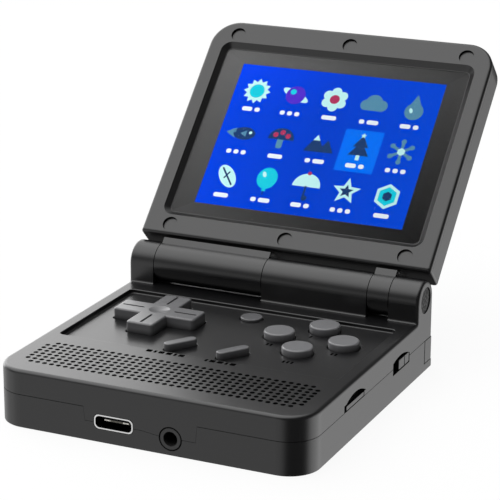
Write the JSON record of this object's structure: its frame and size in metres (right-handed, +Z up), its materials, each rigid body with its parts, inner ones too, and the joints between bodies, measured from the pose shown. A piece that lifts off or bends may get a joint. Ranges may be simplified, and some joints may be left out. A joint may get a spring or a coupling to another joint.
{
  "type": "clamshell handheld game console",
  "caption": "Black clamshell handheld game console, lid open on a friction hinge, with a direction pad, round and pill-shaped buttons, a speaker grille and sockets at the front.",
  "frame": {"origin": "middle of the base's footprint, on the surface that the console stands on", "axes": "+X to the player's right, +Y from the front edge towards the hinge, +Z up; the lid stands open at rest"},
  "size_m": [0.0849, 0.1349, 0.0767],
  "materials": {
    "case_plastic": "satin black moulded shell",
    "button_plastic": "satin dark grey keys",
    "knob_plastic": "light grey slide knob",
    "cap_plastic": "fine textured black cap",
    "cap_rubber": "soft black plug",
    "lens_glass": "clear cover lens with a dark printed border",
    "screen_panel": "lit display",
    "inner_metal": "pressed tin-plated steel",
    "socket_metal": "bright drawn shell",
    "steel": "plain steel",
    "inner_plastic": "black connector plastic",
    "jack_plastic": "grey socket body",
    "speaker_plastic": "black speaker with a paper cone",
    "circuit_board": "green solder mask",
    "battery_wrap": "silver grey foil wrap",
    "key_rubber": "translucent grey silicone",
    "foam": "black foam",
    "ribbon_film": "amber film",
    "card_plastic": "light grey edge"
  },
  "bodies": {
    "base": {"base_upper_shell": "case_plastic", "base_lower_shell": "case_plastic", "battery_cover": "case_plastic", "hinge_cap_left": "cap_plastic", "hinge_cap_right": "cap_plastic", "case_screws": "steel", "cover_screws": "steel", "hinge_pin_left": "steel", "hinge_pin_right": "steel", "hinge_cartridge": "steel", "shield_can": "inner_metal", "card_socket": "inner_metal", "usb_socket_shell": "socket_metal", "usb_socket_tongue": "inner_plastic", "headphone_jack": "jack_plastic", "power_switch": "inner_plastic", "volume_control": "inner_plastic", "menu_switch": "inner_plastic", "shoulder_switch_left": "inner_plastic", "shoulder_switch_right": "inner_plastic", "battery_connector": "inner_plastic", "ribbon_connector": "inner_plastic", "speaker_left": "speaker_plastic", "speaker_right": "speaker_plastic", "main_board": "circuit_board", "battery": "battery_wrap", "d_pad_rubber": "key_rubber", "action_rubber": "key_rubber", "option_rubber": "key_rubber", "base_ribbon": "ribbon_film"},
    "lid": {"lid_rear_shell": "case_plastic", "lid_front_frame": "case_plastic", "screen_lens": "lens_glass", "lcd_panel": "screen_panel", "backlight": "inner_metal", "screen_foam": "foam", "screw_plugs": "cap_rubber", "lid_screws": "steel", "lid_ribbon": "ribbon_film", "hinge_cam_shaft": "steel"},
    "d_pad": {"d_pad": "button_plastic"},
    "d_pad_rocker": {"d_pad_ball": "steel"},
    "volume_wheel": {"volume_wheel": "button_plastic"},
    "power_knob": {"power_knob": "knob_plastic"},
    "menu_button": {"menu_button": "button_plastic"},
    "memory_card": {"memory_card": "card_plastic"},
    "action_button_left": {"action_button_left": "button_plastic"},
    "action_button_right": {"action_button_right": "button_plastic"},
    "action_button_front": {"action_button_front": "button_plastic"},
    "action_button_rear": {"action_button_rear": "button_plastic"},
    "pill_button_left": {"pill_button_left": "button_plastic"},
    "shoulder_button_left": {"shoulder_button_left": "case_plastic"},
    "pill_button_right": {"pill_button_right": "button_plastic"},
    "shoulder_button_right": {"shoulder_button_right": "case_plastic"}
  },
  "joints": [
    {"name": "lid_hinge", "type": "hinge", "parent": "base", "child": "lid", "pos_m": [0, 0.03615, 0.01985], "axis": [-1, 0, 0], "range_deg": [-134.8, 25.2]},
    {"name": "d_pad_rock_front_rear", "type": "hinge", "parent": "base", "child": "d_pad_rocker", "pos_m": [-0.0213, 0.0084, 0.00955], "axis": [1, 0, 0], "range_deg": [-3, 3], "stiffness_Nm_per_rad": 0.06},
    {"name": "d_pad_rock_left_right", "type": "hinge", "parent": "d_pad_rocker", "child": "d_pad", "pos_m": [-0.0213, 0.0084, 0.00955], "axis": [0, 1, 0], "range_deg": [-3, 3], "stiffness_Nm_per_rad": 0.06},
    {"name": "menu_press", "type": "slide", "parent": "base", "child": "menu_button", "axis": [0, 0, -1], "range_m": [0, 0.0005], "stiffness_N_per_m": 800, "springref_m": -0.0004},
    {"name": "power_slide", "type": "slide", "parent": "base", "child": "power_knob", "axis": [0, -1, 0], "range_m": [0, 0.0034]},
    {"name": "volume_turn", "type": "hinge", "parent": "base", "child": "volume_wheel", "pos_m": [-0.0367, -0.004, 0.0043], "axis": [0, 0, 1], "range_deg": [-140, 140]},
    {"name": "card_slide", "type": "slide", "parent": "base", "child": "memory_card", "axis": [1, 0, 0], "range_m": [0, 0.012]},
    {"name": "action_left_press", "type": "slide", "parent": "base", "child": "action_button_left", "axis": [0, 0, -1], "range_m": [0, 0.0012], "stiffness_N_per_m": 400, "springref_m": -0.0008},
    {"name": "action_right_press", "type": "slide", "parent": "base", "child": "action_button_right", "axis": [0, 0, -1], "range_m": [0, 0.0012], "stiffness_N_per_m": 400, "springref_m": -0.0008},
    {"name": "action_front_press", "type": "slide", "parent": "base", "child": "action_button_front", "axis": [0, 0, -1], "range_m": [0, 0.0012], "stiffness_N_per_m": 400, "springref_m": -0.0008},
    {"name": "action_rear_press", "type": "slide", "parent": "base", "child": "action_button_rear", "axis": [0, 0, -1], "range_m": [0, 0.0012], "stiffness_N_per_m": 400, "springref_m": -0.0008},
    {"name": "pill_left_press", "type": "slide", "parent": "base", "child": "pill_button_left", "axis": [0, 0, -1], "range_m": [0, 0.0009], "stiffness_N_per_m": 500, "springref_m": -0.0007},
    {"name": "pill_right_press", "type": "slide", "parent": "base", "child": "pill_button_right", "axis": [0, 0, -1], "range_m": [0, 0.0009], "stiffness_N_per_m": 500, "springref_m": -0.0007},
    {"name": "shoulder_left_press", "type": "hinge", "parent": "base", "child": "shoulder_button_left", "pos_m": [-0.0262, 0.0393, 0.005], "axis": [0, 0, 1], "range_deg": [0, 1.2], "stiffness_Nm_per_rad": 0.3, "springref_deg": -1.72},
    {"name": "shoulder_right_press", "type": "hinge", "parent": "base", "child": "shoulder_button_right", "pos_m": [0.0262, 0.0393, 0.005], "axis": [0, 0, -1], "range_deg": [0, 1.2], "stiffness_Nm_per_rad": 0.3, "springref_deg": -1.72}
  ]
}
